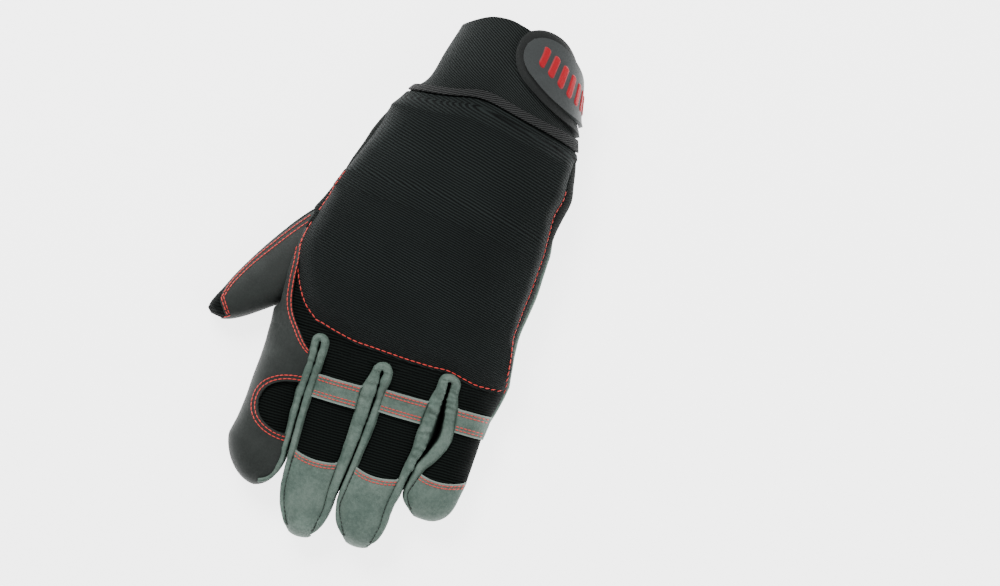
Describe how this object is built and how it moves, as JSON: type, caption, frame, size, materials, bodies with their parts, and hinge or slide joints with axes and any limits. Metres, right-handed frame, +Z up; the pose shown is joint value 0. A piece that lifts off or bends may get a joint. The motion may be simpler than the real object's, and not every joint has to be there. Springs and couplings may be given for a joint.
{
  "type": "chainsaw glove",
  "caption": "Left-hand work glove lying palm down, with a thick ribbed protective panel on the back of the hand, leather fingertips and a knit cuff closed by a wrist strap.",
  "frame": {"origin": "centre of the bounding box's footprint, on the surface the palm lies on", "axes": "+Z up out of the back of the hand, +Y from the fingertips to the cuff, +X from the thumb to the little finger"},
  "size_m": [0.153, 0.2624, 0.0396],
  "materials": {
    "black_fabric": "ribbed stretch fabric, matte",
    "ribbed_knit": "ribbed knit, matte",
    "strap_fabric": "brushed loop fabric, matte",
    "grey_leather": "suede-like grain leather",
    "dark_leather": "smooth synthetic leather, matte",
    "badge_rubber": "moulded rubber, satin"
  },
  "bodies": {
    "root": {"back_pad": "black_fabric", "back_shell": "black_fabric", "cuff": "ribbed_knit", "cuff_seam_tape": "strap_fabric", "fingertip_cap_little": "grey_leather", "fingertip_cap_middle": "grey_leather", "fingertip_cap_ring": "grey_leather", "fourchette_index_middle": "grey_leather", "fourchette_middle_ring": "grey_leather", "fourchette_ring_little": "grey_leather", "index_wrap": "dark_leather", "knuckle_band_little": "grey_leather", "knuckle_band_middle": "grey_leather", "knuckle_band_ring": "grey_leather", "palm": "grey_leather", "strap_badge": "badge_rubber", "thumb_back": "black_fabric", "thumb_leather": "dark_leather", "wrist_strap": "strap_fabric"}
  },
  "joints": []
}
